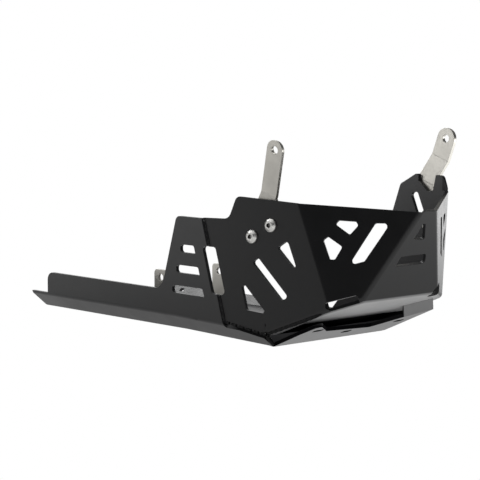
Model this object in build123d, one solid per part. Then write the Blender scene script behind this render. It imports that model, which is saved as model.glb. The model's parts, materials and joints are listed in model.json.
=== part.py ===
from build123d import *
import os
from math import atan2, cos, hypot, radians, sin, sqrt, tan

os.makedirs("parts", exist_ok=True)

# Driving dimensions in mm. X runs forward, Y to the left of the motorcycle, Z up.
# While building, x = 0 is the front bend of the floor and z = 0 its underside there.
sheet = 4.0             # thickness of both folded sheets
bend = 6.0              # outside radius of the folds
strap = 4.0             # thickness of the bare brackets

# Belly pan
pan_rear = 410.0        # front bend to the rear end of the floor
kink_back = 141.0       # front bend to the slight kink of the floor
kink_rise = 3.0         # how much higher the rear floor lies
floor_half = 85.5       # half width of the flat floor
wall_half = 107.3       # centre plane to the outside of the flange
chamfer_rise = 18.4     # height of the chamfer under the flange
lip_run = 12.0          # width of the far lip, across the motorcycle
lip_lean = 43.0         # slope of the far lip
flange_rear = 377.5     # front bend to the rear end of the flange
flange_top = 48.9       # height of the flange
tower_top = 132.3       # height of the tower
tower_lean = 17.3       # lean of both tower edges
tower_foot = 159.3      # front bend back to the tower's rear edge, at flange height
tower_front = 57.1      # front bend back to the foot of the tower's front edge
tower_toe = 22.4        # height of that foot
slot_height = 8.7       # ventilation slots in the tower
slot_first = 50.9       # height of the lowest slot
slot_step = 23.0        # spacing of the slots
slot_rear = 17.8        # rear ends of the slots to the tower's rear edge
slot_front = 22.5       # front ends of the slots to the tower's front edge
tongue_slope = 23.5     # slope of the front tongue
near_ear = 62.0         # front bend to the end of the near ear
near_out = 84.0         # near ear, outer edge from the centre
notch_x = 39.5          # front bend to the recess between the ears, at its near end
notch_near = 46.0       # near end of that recess from the centre
notch_deep = 28.5       # front bend to the recess at its far end
notch_far = 32.0        # far end of the recess from the centre
flap_x = 54.5           # front bend to the inner end of the far ear's upturned corner
flap_y = 59.0           # that end from the centre
far_ear = 72.5          # front bend to the tip of the far ear
far_out = 86.5          # far ear, outer edge from the centre
flap_slope = 55.0       # slope of the upturned corner, which meets the bowl's bottom plate

# Front bowl
bowl_floor = 13.1       # height of the bowl's bottom plate above the front bend
bowl_slope = 21.94      # slope of the bottom plate
bowl_rear = 2.5         # front bend back to the rear edge of the bottom plate
side_turn = 10.5        # near wall, turned in from straight ahead
quarter_turn = 32.5     # near front quarter, likewise
far_turn = 55.5         # far front quarter, likewise
side_toe = 104.8        # near wall at its rear foot, from the centre plane
foot_x = 102.3          # foot of the front face, ahead of the front bend
foot_half = 59.5        # half width of the front face at its foot
crown_x = 141.1         # top of the front face, ahead of the front bend
crown_z = 147.6         # height of the top of the front face
crown_half = 11.8       # half width of the front face at its top
far_half = 98.0         # centre plane to the outside of the far wall

# Fasteners and brackets
screw_d = 8.0           # strap screws
screw_hole = 9.0
head_d = 14.0
head_h = 4.4
socket_af = 5.0
nut_af = 13.0
nut_h = 6.5
near_width = 20.5       # right strap
far_width = 24.0        # left strap
strap_offset = 12.0     # how far a strap leans or steps sideways
near_reach = 49.3       # bend of the right strap to its eye
far_reach = 50.8        # lower bend of the left strap to its eye
far_run = 28.3          # length of the left strap's sideways step
eye_d = 9.0
tab_x = 234.0           # front bend back to the rear tabs
tab_half = 47.0         # centre plane to the outside of the rear tabs
tab_width = 24.0
tab_hole_z = 50.3
tab_hole_d = 8.5
tab_sheet = 3.0
rear_d = 6.0            # countersunk screws of the rear bracket
rear_hole = 6.6
rear_half = 26.0        # centre plane to those screws
rear_nut_af = 10.0
rear_nut_h = 5.2

# Derived values
lean = tan(radians(tower_lean))
tongue_m = tan(radians(tongue_slope))
bowl_m = tan(radians(bowl_slope))
foot_z = bowl_floor + bowl_m * foot_x
n_bottom = Vector(sin(radians(bowl_slope)), 0, -cos(radians(bowl_slope)))


def unit(v):
    """A vector of length one."""
    return v * (1.0 / v.length)


def facing(p, q, turn, far=False):
    """Outward normal of a sheet through the line p-q, turned from straight sideways towards the front."""
    a = radians(turn)
    nx, ny = sin(a), -cos(a)
    if far:
        ny = -ny
    d = q - p
    return unit(Vector(nx, ny, -(nx * d.X + ny * d.Y) / d.Z))


def sheet_plane(origin, normal):
    """Plane on the outside of a sheet: local x level and to the right seen from outside, local y up."""
    level = unit(Vector(0, 0, 1).cross(normal))
    return Plane(origin=origin, x_dir=level, z_dir=normal)


def fold_point(pair):
    """A point on the fold of two sheets, each given by a point and its normal."""
    (p1, m1), (p2, m2) = pair
    d1, d2 = p1.dot(m1), p2.dot(m2)
    k = m1.dot(m2)
    c1 = (d1 - d2 * k) / (1 - k * k)
    c2 = (d2 - d1 * k) / (1 - k * k)
    return m1 * c1 + m2 * c2


def outline(corners):
    """Flat face from corners (u, v) or (u, v, radius)."""
    pts = [(c[0], c[1]) for c in corners]
    rad = [c[2] if len(c) > 2 else 0.0 for c in corners]
    n = len(pts)
    starts, ends, mids = [], [], []
    for i in range(n):
        p, a, b = pts[i], pts[i - 1], pts[(i + 1) % n]
        ax, ay = a[0] - p[0], a[1] - p[1]
        bx, by = b[0] - p[0], b[1] - p[1]
        la, lb = hypot(ax, ay), hypot(bx, by)
        if rad[i] <= 0:
            starts.append(p)
            ends.append(p)
            mids.append(None)
            continue
        ax, ay, bx, by = ax / la, ay / la, bx / lb, by / lb
        half = 0.5 * abs(atan2(ax * by - ay * bx, ax * bx + ay * by))
        cut = min(rad[i] / tan(half), 0.48 * la, 0.48 * lb)
        r = cut * tan(half)
        mx, my = ax + bx, ay + by
        lm = hypot(mx, my)
        reach = r / sin(half) - r
        starts.append((p[0] + ax * cut, p[1] + ay * cut))
        ends.append((p[0] + bx * cut, p[1] + by * cut))
        mids.append((p[0] + mx / lm * reach, p[1] + my / lm * reach))
    edges = []
    for i in range(n):
        if mids[i] is not None:
            edges.append(ThreePointArc(starts[i], mids[i], ends[i]))
        nxt = starts[(i + 1) % n]
        if hypot(nxt[0] - ends[i][0], nxt[1] - ends[i][1]) > 1e-6:
            edges.append(Line(ends[i], nxt))
    return make_face(Wire(edges))


def through(plane, corners, inward=20.0, outward=20.0):
    """Solid cutter: an outline on a plane, pushed out on both sides of it."""
    face = plane * outline(corners)
    way = plane.z_dir
    body = extrude(face, amount=outward, dir=way) + extrude(face, amount=inward, dir=way * -1)
    return body


def slab(plane, corners, thickness):
    """Flat sheet: an outline on a plane, thickened to the inside."""
    return extrude(plane * outline(corners), amount=thickness, dir=plane.z_dir * -1)


def biggest(shape):
    """The largest solid of a shape."""
    return Part() + max(shape.solids(), key=lambda s: s.volume)


# Belly pan: floor and edges as one bent profile, drawn in the plane across the motorcycle
chamfer_run = wall_half - floor_half
lip_rise = lip_run * tan(radians(lip_lean))


def bent_strip(points, thickness, radius):
    """Profile of a bent strip. The points run along its outside; the inside lies to the left of them."""
    n = len(points)
    inner = []
    for i in range(n):
        norms = []
        for a, b in ((i - 1, i), (i, i + 1)):
            if 0 <= a and b < n:
                dx, dy = points[b][0] - points[a][0], points[b][1] - points[a][1]
                d = hypot(dx, dy)
                norms.append((-dy / d, dx / d))
        if len(norms) == 1:
            mx, my = norms[0]
        else:
            (x1, y1), (x2, y2) = norms
            k = 1.0 + x1 * x2 + y1 * y2
            mx, my = (x1 + x2) / k, (y1 + y2) / k
        inner.append((points[i][0] + mx * thickness, points[i][1] + my * thickness))
    small = max(radius - thickness, 0.6)
    corners = []
    for i, p in enumerate(points):
        turn = bend_way(points, i)
        corners.append((p[0], p[1], 0.0 if turn == 0 else (radius if turn > 0 else small)))
    for i in range(n - 1, -1, -1):
        turn = bend_way(points, i)
        corners.append((inner[i][0], inner[i][1], 0.0 if turn == 0 else (small if turn > 0 else radius)))
    return outline(corners)


def bend_way(points, i):
    """Which way a strip bends at a point: 1 towards its inside, -1 away from it, 0 at the ends."""
    if i == 0 or i == len(points) - 1:
        return 0
    ax, ay = points[i][0] - points[i - 1][0], points[i][1] - points[i - 1][1]
    bx, by = points[i + 1][0] - points[i][0], points[i + 1][1] - points[i][1]
    return 1 if ax * by - ay * bx > 0 else -1


# The profile runs from the near side to the far side, so its inside is above it
across = Plane(origin=(-kink_back, 0, kink_rise), x_dir=(0, 1, 0), z_dir=(1, 0, 0))
profile = [
    (-wall_half, chamfer_rise + 16.0),
    (-wall_half, chamfer_rise),
    (-floor_half, 0.0),
    (floor_half, 0.0),
    (floor_half + lip_run, lip_rise),
]
section = across * bent_strip(profile, sheet, bend)
rear_floor = extrude(section, amount=pan_rear - kink_back, dir=(-1, 0, 0))
front_way = Vector(kink_back, 0, -kink_rise)
front_floor = extrude(section, amount=front_way.length, dir=unit(front_way))

# Near wall of the pan: flange and tower in one outline
wall_plane = Plane(origin=(0, -wall_half, 0), x_dir=(1, 0, 0), z_dir=(0, -1, 0))


def rear_edge(z):
    """Rear edge of the tower at a height."""
    return -tower_foot + (z - flange_top) * lean


def front_edge(z):
    """Front edge of the tower at a height."""
    return -tower_front - (z - tower_toe) * lean


wall_low = kink_rise + chamfer_rise + 3.0
wall = slab(
    wall_plane,
    [
        (-flange_rear, wall_low),
        (front_edge(wall_low), wall_low),
        (front_edge(tower_top), tower_top),
        (rear_edge(tower_top), tower_top, 7.0),
        (rear_edge(flange_top), flange_top, 18.0),
        (-flange_rear, flange_top, 10.0),
    ],
    sheet,
)

# Side wall of the bowl, needed here to trim the chamfer in front of the tower
A_b = Vector(front_edge(tower_toe) - 2.5, -side_toe, tower_toe - 0.5)
A_t = Vector(front_edge(tower_top) - 2.5, -side_toe, tower_top - 0.5)
n_side = facing(A_b, A_t, side_turn)
side = sheet_plane(A_b, n_side)

# Ahead of the tower the chamfer ends square to its own sheet, where the bowl's side wall stands on it
dip = kink_rise / kink_back
chamfer_out = unit(Vector(-chamfer_run * dip, -chamfer_rise, -chamfer_run))
chamfer_in = Plane(origin=Vector(0, -floor_half, 0) - chamfer_out * sheet, z_dir=chamfer_out)
seam = fold_point(((chamfer_in.origin, chamfer_out), (A_b, n_side)))
square = unit(chamfer_out.cross(n_side).cross(chamfer_out))
ahead = through(
    wall_plane,
    [
        (front_edge(-40.0), -40.0),
        (200.0, -40.0),
        (200.0, 260.0),
        (front_edge(260.0), 260.0),
    ],
    inward=60.0,
    outward=60.0,
)
wide = [(-300, -300), (400, -300), (400, 300), (-300, 300)]
outside = extrude(Plane(origin=seam, z_dir=square) * outline(wide), amount=200.0)
spare = ahead & outside
stub = through(
    wall_plane,
    [
        (front_edge(-40.0), -40.0),
        (200.0, -40.0),
        (200.0, 260.0),
        (front_edge(260.0), 260.0),
    ],
    inward=sheet + 0.3,
    outward=60.0,
)
# Behind the flange only the chamfer and a low rim are left
rim = 2.2
behind = Pos(-pan_rear, -wall_half, kink_rise + chamfer_rise + 50.0 + rim) * Box(
    2.0 * (pan_rear - flange_rear), 40.0, 100.0
)

# Front tongue: rises from the front bend below the bowl; the corner of its far ear turns up to the bowl
tongue_half = far_out + sheet
lengthwise = Plane(origin=(0, tongue_half, 0), x_dir=(1, 0, 0), z_dir=(0, -1, 0))
tongue_run = 1.5 * far_ear
tongue_profile = [
    (-30.0, 30.0 * dip),
    (0.0, 0.0),
    (tongue_run, tongue_m * tongue_run),
]
tongue = extrude(lengthwise * bent_strip(tongue_profile, sheet, bend), amount=2.0 * tongue_half, dir=(0, -1, 0))
plan = Plane.XY
plan_shape = [
    (-30.0, -floor_half + 8.0),
    (-6.0, -floor_half + 1.0),
    (0.0, -floor_half),
    (0.65 * near_ear, -floor_half, 10.0),
    (near_ear - 2.0, -near_out + 2.0, 5.0),
    (near_ear, -near_out + 9.0, 4.0),
    (notch_x, -notch_near, 6.0),
    (notch_deep, notch_far, 8.0),
    (flap_x, flap_y),
    (far_ear, far_out),
    (12.0, far_out, 8.0),
    (0.0, floor_half),
    (-6.0, floor_half - 1.0),
    (-30.0, floor_half - 8.0),
]
tongue = tongue & through(plan, plan_shape, inward=60.0, outward=120.0)
flap_foot = Vector(flap_x, flap_y, tongue_m * flap_x)
flap_tip = Vector(far_ear, far_out, tongue_m * far_ear)
flap_along = unit(flap_tip - flap_foot)
flap_level = unit(Vector(flap_along.Y, -flap_along.X, 0))
flap_up = flap_level * cos(radians(flap_slope)) + Vector(0, 0, 1) * sin(radians(flap_slope))
flap_face = Plane(origin=flap_foot, x_dir=flap_along, z_dir=unit(flap_along.cross(flap_up)))
flap_long = (flap_tip - flap_foot).length
flap_shape = [(0.0, 0.0), (flap_long, 0.0), (flap_long, flap_long), (0.0, flap_long)]
flap = slab(flap_face, flap_shape, sheet)
bottom_face = Plane(origin=(0, 0, bowl_floor), z_dir=n_bottom)
flap = split(flap, bisect_by=bottom_face, keep=Keep.TOP)

pan = rear_floor + front_floor + wall
pan = pan - behind - spare - stub
# The floor ends at the front bend, and the edges beside it end with it
pan = pan - Pos(50.0, 0, 0) * Box(100.0, 400.0, 400.0)
# The edges taper off towards the front bend
corner_near = through(plan, [(0.0, -floor_half), (2.0, -140.0), (-9.0, -140.0)], 60.0, 60.0)
corner_far = through(plan, [(0.0, floor_half), (2.0, 140.0), (-9.0, 140.0)], 60.0, 60.0)
pan = pan - corner_near - corner_far
pan = pan + tongue + flap
pan = biggest(pan)

# Cut-outs of the pan
for k in range(3):
    zc = slot_first + k * slot_step
    low, high = zc - 0.5 * slot_height, zc + 0.5 * slot_height
    left = rear_edge(zc) + slot_rear
    cutter = through(
        wall_plane,
        [
            (left, low, 3.6),
            (front_edge(low) - slot_front, low),
            (front_edge(high) - slot_front, high, 3.2),
            (left, high, 3.6),
        ],
        inward=12.0,
        outward=12.0,
    )
    pan = pan - cutter
joint_low, joint_high, joint_in = tower_toe + 29.0, tower_toe + 80.0, 8.0
pan = pan - through(
    wall_plane,
    [
        (front_edge(joint_low) - joint_in, joint_low, 4.0),
        (front_edge(joint_low) + 30.0, joint_low),
        (front_edge(joint_high) + 30.0, joint_high),
        (front_edge(joint_high) - joint_in, joint_high, 4.0),
    ],
    inward=6.0,
    outward=6.0,
)
# Small drain slots of the tongue and a hole in the far lip
for sx, sy, long in ((47.0, -66.0, 14.0), (40.0, 66.0, 14.0), (24.0, 0.0, 14.0)):
    shape = [
        (sx - 3.5, sy - 0.5 * long, 3.0),
        (sx + 3.5, sy - 0.5 * long, 3.0),
        (sx + 3.5, sy + 0.5 * long, 3.0),
        (sx - 3.5, sy + 0.5 * long, 3.0),
    ]
    pan = pan - through(plan, shape, inward=40.0, outward=40.0)
lip_mid = Vector(-357.0, floor_half + 0.55 * lip_run, kink_rise + 0.55 * lip_rise)
lip_out = unit(Vector(0, sin(radians(lip_lean)), -cos(radians(lip_lean))))
lip_plane = Plane(origin=lip_mid, x_dir=(1, 0, 0), z_dir=lip_out)
pan = pan - through(lip_plane, [(-4, -2.5, 2.0), (4, -2.5, 2.0), (4, 2.5, 2.0), (-4, 2.5, 2.0)], 10.0, 10.0)

# Countersunk holes of the rear bracket
sink_d = 2.0 * rear_d
for sy in (-rear_half, rear_half):
    at = Pos(-tab_x, sy, kink_rise)
    pan = pan - at * Pos(0, 0, 5.0) * Cylinder(0.5 * rear_hole, 30.0)
    cone = Cone(0.5 * sink_d + 0.3, 0.5 * rear_hole, 0.5 * (sink_d - rear_hole) + 0.3,
                align=(Align.CENTER, Align.CENTER, Align.MIN))
    pan = pan - at * cone
pan = biggest(pan)

# Front bowl: outer and inner bodies between the same planes, folds rounded on both, then hollowed
C_b = Vector(foot_x, -foot_half, foot_z)
C_t = Vector(crown_x, -crown_half, crown_z)
far_b = Vector(foot_x, foot_half, foot_z)
far_t = Vector(crown_x, crown_half, crown_z)
n_quarter = facing(C_b, C_t, quarter_turn)
n_far = facing(far_b, far_t, far_turn, far=True)
rise = Vector(crown_x - foot_x, 0, crown_z - foot_z)
n_front = unit(Vector(rise.Z, 0, -rise.X))
n_left = Vector(0, 1, 0)
faces = [
    (A_b, n_side),
    (C_b, n_quarter),
    (C_b, n_front),
    (far_b, n_far),
    (Vector(0, far_half, 0), n_left),
    (Vector(0, 0, bowl_floor), n_bottom),
]
rear_cut = -140.0
top_normal = unit(Vector(1.0, 0, 1.0))
top_point = Vector(crown_x, 0, crown_z + bend)


def body(inset, radius):
    """Solid between the bowl's planes, moved in by an inset, with its folds rounded."""
    lot = Pos(20.0, 0, 80.0) * Box(2.0 * (20.0 - rear_cut), 400.0, 400.0)
    solid = Part() + lot
    for p, n in faces:
        cut = Plane(origin=p - n * inset, z_dir=n)
        solid = split(solid, bisect_by=cut, keep=Keep.BOTTOM)
    solid = split(solid, bisect_by=Plane(origin=top_point, z_dir=top_normal), keep=Keep.BOTTOM)
    chosen = []
    for e in solid.edges():
        mid = e.position_at(0.5)
        on = sum(1 for p, n in faces if abs((mid - (p - n * inset)).dot(n)) < 1e-4)
        if on == 2:
            chosen.append(e)
    return fillet(chosen, radius)


outer = body(0.0, bend)
inner = body(sheet, bend - sheet)
inner = inner + Pos(rear_cut - 40.0, 0, 80.0) * Box(82.0, 180.0, 260.0)
lid = extrude(
    Plane(origin=top_point - top_normal * 1.0, z_dir=top_normal)
    * outline([(-300, -84), (300, -84), (300, 84), (-300, 84)]),
    amount=40.0,
)
bowl = outer - inner - lid

# Trim the walls; each cut is square to its own sheet
quarter = sheet_plane(C_b, n_quarter)
front = sheet_plane(Vector(foot_x, 0, foot_z), n_front)
far_quarter = sheet_plane(far_b, n_far)


def local(plane, point):
    """Coordinates of a point on a plane."""
    v = plane.to_local_coords(point)
    return (v.X, v.Y)


def meet(pair, plane, v):
    """Where the fold of two sheets crosses a height v on one of their planes."""
    way = unit(pair[0][1].cross(pair[1][1]))
    q = fold_point(pair)
    a = plane.to_local_coords(q)
    b = plane.to_local_coords(q + way * 100.0)
    t = (v - a.Y) / (b.Y - a.Y)
    return a.X + (b.X - a.X) * t


fold_b = (faces[0], faces[1])
fold_far = (faces[3], faces[4])
side_top_v = 132.1
b_u = meet(fold_b, side, side_top_v)
b_u_high = meet(fold_b, side, side_top_v + 90.0)
bowl = bowl - through(
    side,
    [
        (-90.0, 110.1),
        (3.5, 111.6, 9.0),
        (13.2, 136.3, 7.0),
        (b_u, side_top_v),
        (b_u_high, side_top_v + 90.0),
        (-90.0, side_top_v + 90.0),
    ],
    inward=10.0,
    outward=10.0,
)
b_top = side.from_local_coords((b_u, side_top_v, 0))
q1 = local(quarter, b_top)
q2 = local(quarter, C_t)
q1h = meet(fold_b, quarter, q1[1] + 60.0)
q2h = (q2[0] + 0.5 * (q2[0] - local(quarter, C_b)[0]) * 0.5, q2[1] + 60.0)
bowl = bowl - through(quarter, [q1, q2, q2h, (q1h, q1[1] + 60.0)], inward=9.0, outward=10.0)
f_top = local(front, C_t)[1]
front_trim = [
    (-crown_half - 1.0, f_top),
    (crown_half + 1.0, f_top),
    (crown_half + 9.0, f_top + 60.0),
    (-60.0, f_top + 60.0),
]
bowl = bowl - through(front, front_trim, inward=9.0, outward=10.0)
far_top_z = 161.0
g_u = meet(fold_far, far_quarter, far_top_z - foot_z)
k_t = local(far_quarter, far_t)
far_trim = [
    k_t,
    (g_u, far_top_z - foot_z),
    (g_u, far_top_z - foot_z + 70.0),
    (k_t[0] - 12.0, k_t[1] + 60.0),
]
bowl = bowl - through(far_quarter, far_trim, inward=9.0, outward=10.0)
left = Plane(origin=(0, far_half, 0), x_dir=(1, 0, 0), z_dir=(0, -1, 0))
lip_corner = kink_rise + lip_rise + sheet * cos(radians(lip_lean))
far_x = far_quarter.from_local_coords((g_u, far_top_z - foot_z, 0)).X
left_rear = -90.0
left_low = lip_corner + (-left_rear - kink_back) * dip
left_cut = [
    (left_rear, left_low),
    (-36.8, 74.4, 50.0),
    (-2.6, 117.0, 20.0),
    (15.6, 166.3, 6.0),
    (27.2, 172.4, 10.0),
    (38.2, 178.4, 4.0),
    (far_x - 6.0, 177.8, 5.0),
    (far_x + 0.4, far_top_z),
    (far_x + 40.0, far_top_z),
    (far_x + 40.0, 280.0),
    (-200.0, 280.0),
    (-200.0, left_low),
]
bowl = bowl - through(left, left_cut, inward=10.0, outward=14.0)
# Foot of the far wall on the lip, and the rear edge of the bottom plate
far_foot = [
    (-200.0, lip_corner),
    (-kink_back, lip_corner),
    (0.0, lip_corner - kink_rise),
    (0.0, -60.0),
    (-200.0, -60.0),
]
bowl = bowl - through(left, far_foot, inward=1.0, outward=14.0)
rear_room = Box(200.0, 2.0 * (side_toe - 14.0), 90.0)
bowl = bowl - Pos(-bowl_rear - 100.0, 0.5 * (far_half - side_toe), -20.0) * rear_room
# Rear end of the side wall stands square against the tower's front edge
bowl = bowl - through(
    wall_plane,
    [(front_edge(-80.0), -80.0), (front_edge(300.0), 300.0), (-260.0, 300.0), (-260.0, -80.0)],
    inward=60.0,
    outward=60.0,
)
# The side wall stands on the inside of the chamfer
under = split(Part() + Pos(-101.0, -90.0, 0) * Box(200.0, 80.0, 200.0), bisect_by=chamfer_in, keep=Keep.TOP)
bowl = bowl - under
bowl = bowl - pan
bowl = biggest(bowl)

# Cut-outs of the bowl
cut_in = 9.0
side_cuts = [
    [(69.2, 84.4, 2.0), (80.0, 91.9, 2.5), (83.4, 89.7, 2.5), (94.0, 66.0, 2.0), (90.3, 64.8, 2.0)],
    [(36.6, 67.3, 3.0), (44.8, 72.4, 3.0), (85.6, 33.4, 3.0), (77.0, 29.4, 3.0)],
    [(23.9, 40.8, 2.0), (28.9, 41.8, 2.0), (55.4, 16.6), (53.6, 14.0), (31.2, 15.8, 3.0)],
]
for cut in side_cuts:
    bowl = bowl - through(side, cut, inward=cut_in, outward=6.0)
joint_u = 11.5
bowl = bowl - through(
    side,
    [
        (-70.0, 29.0),
        (joint_u - 29.0 * lean, 29.0, 4.0),
        (joint_u - 80.0 * lean, 80.0, 4.0),
        (-70.0, 80.0),
    ],
    inward=cut_in,
    outward=2.0,
)
quarter_cuts = [
    [(-42.6, 64.1, 2.0), (-38.0, 67.8, 2.0), (-22.1, 57.4, 2.5), (-29.3, 44.2, 2.0), (-34.7, 44.1, 2.0)],
    [(-30.8, 81.0, 2.0), (-27.2, 84.9, 2.0), (-9.2, 84.1, 2.0), (-6.6, 80.0, 2.0), (-14.8, 70.2, 2.0)],
    [(10.8, 83.0, 4.0), (26.8, 83.1, 4.0), (1.6, 43.2, 3.0), (-15.6, 38.2, 4.0)],
]
for cut in quarter_cuts:
    bowl = bowl - through(quarter, cut, inward=cut_in, outward=6.0)
    other = [(-0.8 * c[0], c[1]) for c in cut]
    bowl = bowl - through(far_quarter, other, inward=cut_in, outward=6.0)
low_cut = [(-38.1, -1.0, 3.0), (-4.6, 8.2, 2.0), (-1.2, 0.8), (-30.8, -8.8), (-37.0, -6.6, 2.0)]
bowl = bowl - through(quarter, low_cut, inward=sheet + 0.4, outward=6.0)
front_cuts = [
    [(-10.5, 69.4, 1.5), (7.6, 68.2, 2.5), (0.6, 87.0, 2.0), (-3.2, 87.0, 2.0)],
    [(-25.6, 39.2), (20.6, 39.6, 3.0), (17.6, 51.0, 3.0), (-20.8, 50.6, 1.5)],
]
for cut in front_cuts:
    bowl = bowl - through(front, cut, inward=cut_in, outward=6.0)
left_slot = [(30.9, 156.4, 3.5), (41.0, 159.0, 3.5), (51.7, 134.6, 3.5), (40.7, 133.6, 3.5)]
bowl = bowl - through(left, left_slot, inward=cut_in, outward=6.0)
# Relief hole at the far lower corner, where three folds meet
relief = 9.5
corner_way = unit(n_front + n_far + n_bottom)
corner = Plane(origin=far_b, z_dir=corner_way)
bowl = bowl - extrude(corner * Circle(relief), amount=16.0, both=True)

# Straps: the right one has its plate inside the wall and leans out over it, the left one has its plate
# outside the wall and steps outward to an upright eye
side_in = Plane(origin=side.from_local_coords((52.2, 139.4, -sheet)), x_dir=side.x_dir, z_dir=n_side)
left_out = Plane(origin=(49.0, far_half + strap, 170.0), x_dir=(-1, 0, 0), z_dir=(0, 1, 0))


def strap_plane(wall_face, tilt):
    """Frame of a strap: local x along its bend, local y up its tongue, local z away from the motorcycle."""
    a = radians(tilt)
    along = wall_face.x_dir * cos(a) + wall_face.y_dir * sin(a)
    return Plane(origin=wall_face.origin, x_dir=along, z_dir=wall_face.z_dir)


def spot_on(frame, u, v, height):
    """Plane at a spot of a frame, raised by a height."""
    return Plane(origin=frame.from_local_coords((u, v, height)), x_dir=frame.x_dir, z_dir=frame.z_dir)


def eye_plane(reach, lean_run):
    """Middle of a strap's eye in the strap's own frame, facing along its axis. A run of 0 means an upright eye."""
    rise = Vector(0, -strap_offset, lean_run) if lean_run > 0 else Vector(0, 0, 1)
    way = unit(rise)
    return Plane(origin=Vector(0, reach, strap_offset) - way * (0.5 * strap), x_dir=(1, 0, 0), z_dir=way)


def make_strap(frame, width, section, plate, holes, eye):
    """One bent strap in its own frame: a bent ribbon cut to the outline of its plate and tongue."""
    lower = [(p[0], p[1] - strap) for p in section]
    edge = Plane(origin=(-60.0, 0, 0), x_dir=(0, 1, 0), z_dir=(1, 0, 0))
    ribbon = extrude(edge * bent_strip(lower, strap, 7.0), amount=120.0, dir=(1, 0, 0))
    half = 0.5 * width
    tip = eye.origin.Y + 0.95 * half
    tongue_shape = outline(
        [
            (-half, -2.0),
            (half, -2.0),
            (half, tip, half - 0.1),
            (-half, tip, half - 0.1),
        ]
    )
    shape = outline(plate) + tongue_shape
    blank = extrude(shape, amount=40.0, both=True)
    strap_body = ribbon & blank
    strap_body = strap_body - eye * Cylinder(0.5 * eye_d, 40.0)
    for hx, hy in holes:
        strap_body = strap_body - Pos(hx, hy, 0) * Cylinder(0.5 * screw_hole, 30.0)
    return frame * biggest(strap_body)


near_tilt = -17.4
far_tilt = 21.0
foot = 2.0
near_frame = strap_plane(side_in, near_tilt)
far_frame = strap_plane(left_out, far_tilt)
near_eye = eye_plane(near_reach, near_reach - foot)
far_eye = eye_plane(far_reach, 0.0)
past_eye = far_width
near_gain = strap_offset / (near_reach - foot)
near_section = [
    (-70.0, 0.0),
    (foot, 0.0),
    (near_reach + past_eye, strap_offset + near_gain * past_eye),
]
far_section = [
    (-80.0, 0.0),
    (0.0, 0.0),
    (far_run, strap_offset),
    (far_reach + past_eye, strap_offset),
]
near_holes = [(-2.2, -48.1), (16.9, -28.3)]
near_plate = [
    (-0.5 * near_width, -1.0),
    (0.5 * near_width, -1.0),
    (29.0, -20.0, 6.0),
    (29.0, -36.0, 8.0),
    (10.0, -61.0, 8.0),
    (-15.0, -61.0, 8.0),
    (-15.0, -40.0, 10.0),
]
far_holes = [(-27.0, -38.5), (-30.5, -62.0)]
far_plate = [
    (0.5 * far_width, -1.0),
    (-0.5 * far_width, -1.0),
    (-22.0, -10.0, 8.0),
    (-35.5, -36.0, 8.0),
    (-40.5, -73.0, 8.0),
    (-20.0, -73.0, 8.0),
    (-15.5, -31.0, 8.0),
    (0.5, -14.5, 6.0),
    (0.5 * far_width, -8.0, 4.0),
]
right_bracket = make_strap(near_frame, near_width, near_section, near_plate, near_holes, near_eye)
left_bracket = make_strap(far_frame, far_width, far_section, far_plate, far_holes, far_eye)

# Strap screws from outside, nuts inside
screw_len = sheet + strap + nut_h + 2.5


def button_screw():
    """Round-headed socket screw along local z, its seat at z = 0 and its head above."""
    half = 0.5 * head_d
    rounding = Polyline(
        (0, 0),
        (half, 0),
        (half, 0.4 * head_h),
        (0.6 * half, head_h),
        (0, head_h),
        close=True,
    )
    head = revolve(Plane.XZ * make_face(rounding), Axis.Z)
    key = extrude(RegularPolygon(socket_af / sqrt(3.0), 6), amount=2.8)
    head = head - Pos(0, 0, head_h - 2.2) * key
    shank = Cylinder(0.5 * screw_d, screw_len, align=(Align.CENTER, Align.CENTER, Align.MAX))
    return head + shank


def hex_nut(across_flats, height, bore):
    """Nut along local z with its seat at z = 0 and its body below."""
    block = extrude(RegularPolygon(across_flats / sqrt(3.0), 6), amount=-height)
    return block - Cylinder(0.5 * bore, 4.0 * height)


screws, nuts = [], []
screw_a, nut_a = button_screw(), hex_nut(nut_af, nut_h, screw_d + 0.3)
seats = (
    (near_frame, near_holes, sheet, -strap),
    (far_frame, far_holes, 0.0, -strap - sheet),
)
for frame, holes, head_seat, nut_seat in seats:
    for hx, hy in holes:
        screws.append(spot_on(frame, hx, hy, head_seat) * screw_a)
        nuts.append(spot_on(frame, hx, hy, nut_seat) * nut_a)
        hole = extrude(spot_on(frame, hx, hy, 0.0) * Circle(0.5 * screw_hole), amount=20.0, both=True)
        bowl = bowl - hole
# The left strap shows through a notch in the far wall's top edge
notch = [
    (41.8, 200.0),
    (42.2, 170.5, 1.5),
    (55.6, 159.3, 2.5),
    (63.5, 160.9, 2.0),
    (67.5, 178.5),
    (69.0, 200.0),
]
bowl = bowl - through(left, notch, inward=8.0, outward=8.0)
bowl = biggest(bowl)

# Rear bracket: one bent strip with two tabs, bolted to the floor
floor_in = kink_rise + sheet
tab_top = tab_hole_z + 9.0
rear_strip = [
    (-tab_half, tab_top),
    (-tab_half, floor_in),
    (tab_half, floor_in),
    (tab_half, tab_top),
]
rear_cross = Plane(origin=(-tab_x - 0.5 * tab_width, 0, 0), x_dir=(0, 1, 0), z_dir=(1, 0, 0))
rear_profile = rear_cross * bent_strip(rear_strip, tab_sheet, tab_sheet + 2.0)
rear_bracket = extrude(rear_profile, amount=tab_width, dir=(1, 0, 0))
tab_plane = Plane(origin=(-tab_x, 0, 0), x_dir=(1, 0, 0), z_dir=(0, -1, 0))
tab_shape = [
    (-0.5 * tab_width, 0.0),
    (0.5 * tab_width, 0.0),
    (0.5 * tab_width, tab_top, 5.0),
    (-0.5 * tab_width, tab_top, 5.0),
]
rear_bracket = rear_bracket & through(tab_plane, tab_shape, inward=100.0, outward=100.0)
rear_bracket = rear_bracket - Pos(-tab_x, 0, tab_hole_z) * Rot(90, 0, 0) * Cylinder(0.5 * tab_hole_d, 200.0)
rear_screws, rear_nuts = [], []
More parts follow.
